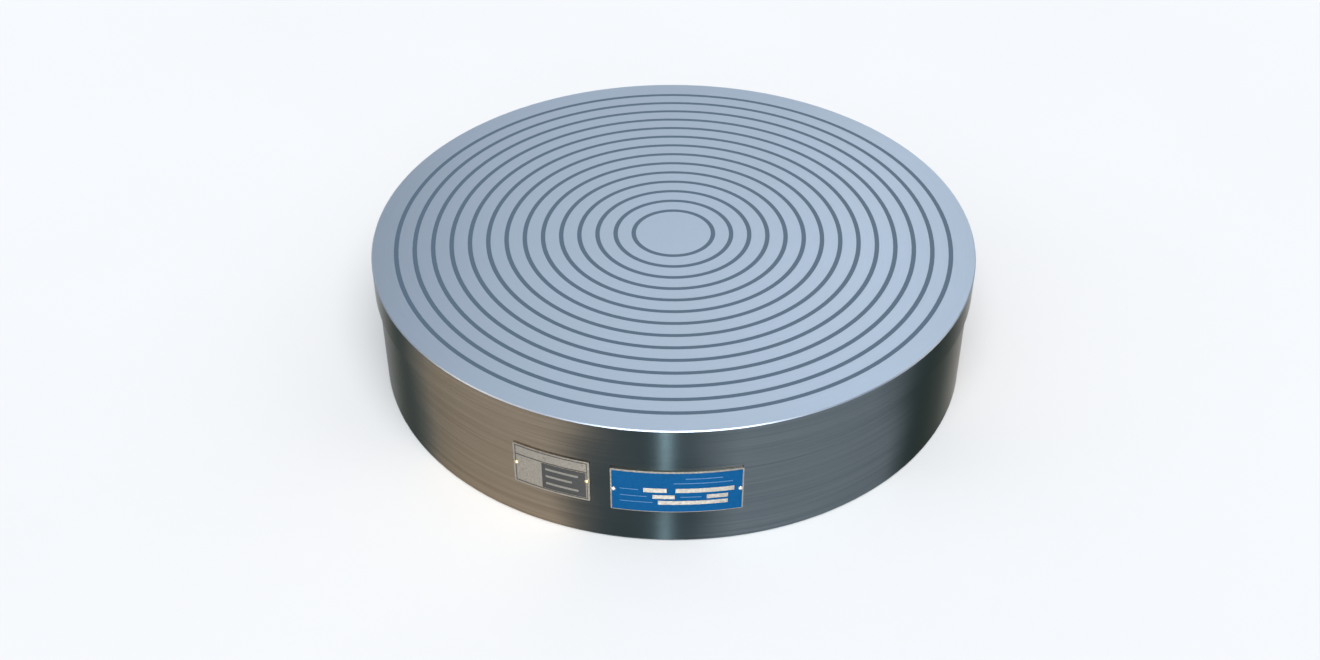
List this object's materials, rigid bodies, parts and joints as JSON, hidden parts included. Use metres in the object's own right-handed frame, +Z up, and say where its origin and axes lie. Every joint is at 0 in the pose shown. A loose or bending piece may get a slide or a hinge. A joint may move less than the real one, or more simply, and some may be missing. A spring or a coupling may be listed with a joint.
{
  "type": "electromagnetic chuck",
  "caption": "Round electromagnetic chuck: concentric ring poles in a ground work face, on a turned steel body with mounting holes and a central lead outlet below",
  "frame": {"origin": "the middle of the underside, on the chuck's axis", "axes": "+Z up along the chuck's axis, out of the work face; -Y points to the side with the two plates"},
  "size_m": [0.3999, 0.4, 0.09],
  "materials": {
    "turned_steel": "fine turned steel",
    "ground_steel": "surface ground steel",
    "separator_filler": "dark non-magnetic filler, ground flush",
    "coil_winding": "enamelled copper winding cast in resin",
    "black_oxide_steel": "black oxide",
    "zinc_plated_steel": "zinc plated",
    "seal_rubber": "matt",
    "block_plastic": "moulded phenolic",
    "terminal_brass": "turned brass",
    "lead_insulation": "insulated leads",
    "name_plate_blue": "blue enamel on bright metal",
    "side_plate_metal": "etched and filled"
  },
  "bodies": {
    "root": {"body": "turned_steel", "rim_ring": "ground_steel", "centre_pole": "ground_steel", "pole_ring_01": "ground_steel", "pole_ring_02": "ground_steel", "pole_ring_03": "ground_steel", "pole_ring_04": "ground_steel", "pole_ring_05": "ground_steel", "pole_ring_06": "ground_steel", "pole_ring_07": "ground_steel", "pole_ring_08": "ground_steel", "pole_ring_09": "ground_steel", "pole_ring_10": "ground_steel", "pole_ring_11": "ground_steel", "pole_ring_12": "ground_steel", "pole_ring_13": "ground_steel", "separator_ring_01": "separator_filler", "separator_ring_02": "separator_filler", "separator_ring_03": "separator_filler", "separator_ring_04": "separator_filler", "separator_ring_05": "separator_filler", "separator_ring_06": "separator_filler", "separator_ring_07": "separator_filler", "separator_ring_08": "separator_filler", "separator_ring_09": "separator_filler", "separator_ring_10": "separator_filler", "separator_ring_11": "separator_filler", "separator_ring_12": "separator_filler", "separator_ring_13": "separator_filler", "separator_ring_14": "separator_filler", "coil_01": "coil_winding", "coil_02": "coil_winding", "coil_03": "coil_winding", "coil_04": "coil_winding", "coil_05": "coil_winding", "coil_06": "coil_winding", "coil_07": "coil_winding", "rim_screws": "black_oxide_steel", "pole_screws": "black_oxide_steel", "centre_screw": "black_oxide_steel", "terminal_cover": "zinc_plated_steel", "cover_screws": "zinc_plated_steel", "block_screws": "zinc_plated_steel", "cross_bore_plug": "zinc_plated_steel", "rim_seal": "seal_rubber", "cover_gasket": "seal_rubber", "outlet_grommet": "seal_rubber", "terminal_block": "block_plastic", "terminal_screws": "terminal_brass", "earth_screw": "terminal_brass", "name_plate_rivets": "terminal_brass", "side_plate_rivets": "terminal_brass", "lead_loom": "lead_insulation", "name_plate": "name_plate_blue", "side_plate": "side_plate_metal"}
  },
  "joints": []
}
